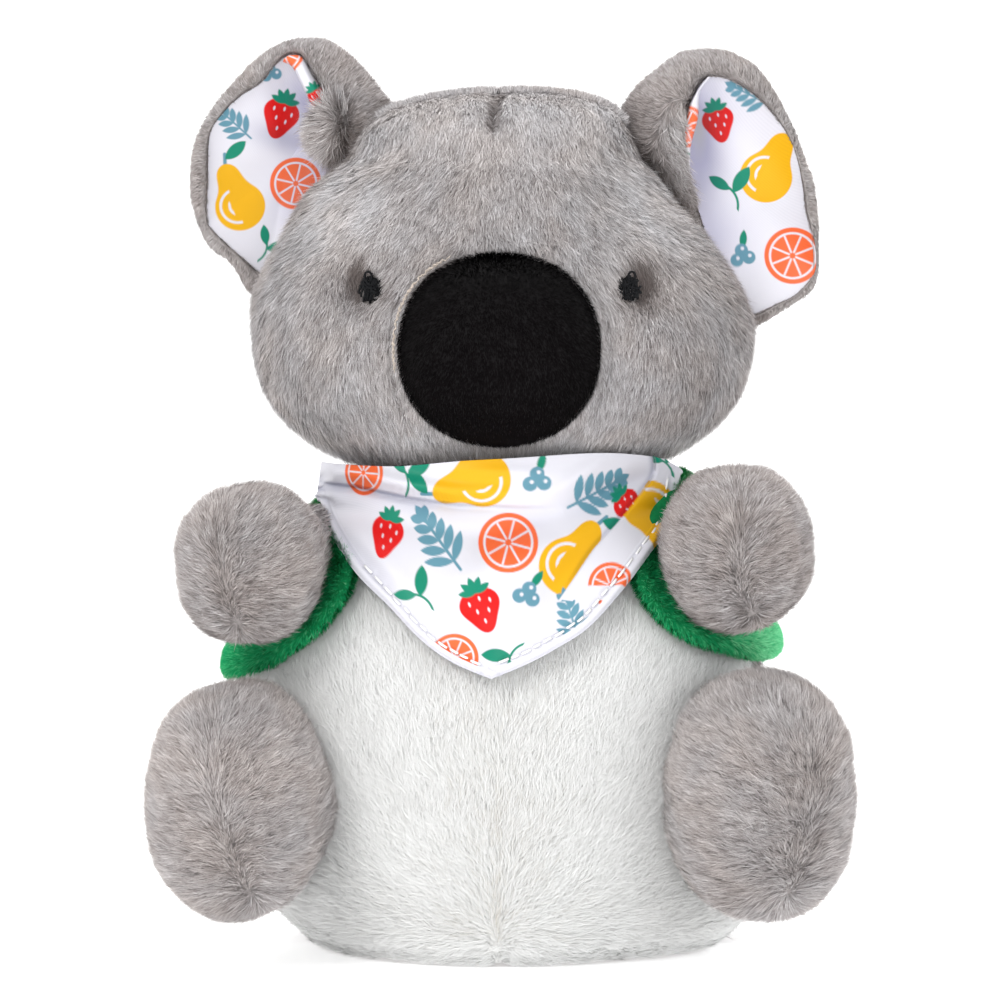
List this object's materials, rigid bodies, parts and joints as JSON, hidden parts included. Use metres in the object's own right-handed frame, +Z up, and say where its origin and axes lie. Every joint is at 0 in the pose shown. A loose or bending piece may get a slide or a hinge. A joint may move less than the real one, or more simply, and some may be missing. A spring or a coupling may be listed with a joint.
{
  "type": "plush koala",
  "caption": "Sitting plush koala with a printed bandana, satin ear linings, an oval nose pad and a small pack on its back.",
  "frame": {"origin": "centre of the bounding box, on the plane that the koala sits on", "axes": "+Z up, the face towards -Y, the animal's own left towards +X"},
  "size_m": [0.1686, 0.155, 0.226],
  "materials": {
    "grey_plush": "short grey plush, combed down",
    "white_plush": "longer white plush",
    "black_velour": "short matte black nap",
    "black_thread": "embroidery thread",
    "printed_satin": "white satin with a coloured fruit and leaf print",
    "white_thread": "sewing thread",
    "green_plush": "short green plush",
    "fibre_fill": "loose polyester fibre",
    "pellet_cotton": "woven cotton bag of pellets"
  },
  "bodies": {
    "torso": {"belly_panel": "white_plush", "back_panel_left": "grey_plush", "back_panel_right": "grey_plush", "base_panel": "grey_plush", "torso_stuffing": "fibre_fill", "pellet_bag": "pellet_cotton", "bandana_cloth": "printed_satin", "bandana_hem_thread": "white_thread", "bandana_neckband": "printed_satin", "bandana_knot": "printed_satin", "strap_left": "green_plush", "strap_right": "green_plush", "pack_back_panel": "green_plush", "pack_front_panel": "green_plush", "pack_flap": "green_plush", "pack_stuffing": "fibre_fill"},
    "neck": {"neck_stuffing": "fibre_fill"},
    "head": {"face_panel": "grey_plush", "head_back_left": "grey_plush", "head_back_right": "grey_plush", "head_stuffing": "fibre_fill", "nose_cover": "black_velour", "nose_stuffing": "fibre_fill", "eye_left": "black_thread", "eye_right": "black_thread"},
    "ear_left": {"ear_left_back_panel": "grey_plush", "ear_left_lining": "printed_satin", "ear_left_wadding": "fibre_fill"},
    "ear_right": {"ear_right_back_panel": "grey_plush", "ear_right_lining": "printed_satin", "ear_right_wadding": "fibre_fill"},
    "arm_left": {"arm_left_outer_panel": "grey_plush", "arm_left_inner_panel": "grey_plush", "arm_left_stuffing": "fibre_fill"},
    "arm_right": {"arm_right_outer_panel": "grey_plush", "arm_right_inner_panel": "grey_plush", "arm_right_stuffing": "fibre_fill"},
    "leg_left": {"leg_left_outer_panel": "grey_plush", "leg_left_inner_panel": "grey_plush", "leg_left_stuffing": "fibre_fill"},
    "leg_right": {"leg_right_outer_panel": "grey_plush", "leg_right_inner_panel": "grey_plush", "leg_right_stuffing": "fibre_fill"}
  },
  "joints": [
    {"name": "head_turn", "type": "hinge", "parent": "torso", "child": "neck", "pos_m": [0, 0, 0.117], "axis": [0, 0, 1], "range_deg": [-12, 12], "stiffness_Nm_per_rad": 0.5},
    {"name": "head_nod", "type": "hinge", "parent": "neck", "child": "head", "pos_m": [0, 0, 0.117], "axis": [1, 0, 0], "range_deg": [-8, 6], "stiffness_Nm_per_rad": 0.9},
    {"name": "ear_left_flap", "type": "hinge", "parent": "head", "child": "ear_left", "pos_m": [0.048, 0.003, 0.1845], "axis": [-0.5792, 0, 0.8152], "range_deg": [-15, 15], "stiffness_Nm_per_rad": 0.05},
    {"name": "ear_right_flap", "type": "hinge", "parent": "head", "child": "ear_right", "pos_m": [-0.0465, 0.003, 0.1885], "axis": [0.678, 0, 0.735], "range_deg": [-15, 15], "stiffness_Nm_per_rad": 0.05},
    {"name": "arm_left_raise", "type": "hinge", "parent": "torso", "child": "arm_left", "pos_m": [0.05, -0.02, 0.1006], "axis": [-1, 0, 0], "range_deg": [-1, 30], "stiffness_Nm_per_rad": 0.3},
    {"name": "arm_right_raise", "type": "hinge", "parent": "torso", "child": "arm_right", "pos_m": [-0.05, -0.02, 0.0994], "axis": [-1, 0, 0], "range_deg": [-1, 30], "stiffness_Nm_per_rad": 0.3},
    {"name": "leg_left_lift", "type": "hinge", "parent": "torso", "child": "leg_left", "pos_m": [0.052, -0.001, 0.06], "axis": [-1, 0, 0], "range_deg": [-10, 2], "stiffness_Nm_per_rad": 0.6},
    {"name": "leg_right_lift", "type": "hinge", "parent": "torso", "child": "leg_right", "pos_m": [-0.052, -0.001, 0.06], "axis": [-1, 0, 0], "range_deg": [-10, 2], "stiffness_Nm_per_rad": 0.6}
  ]
}
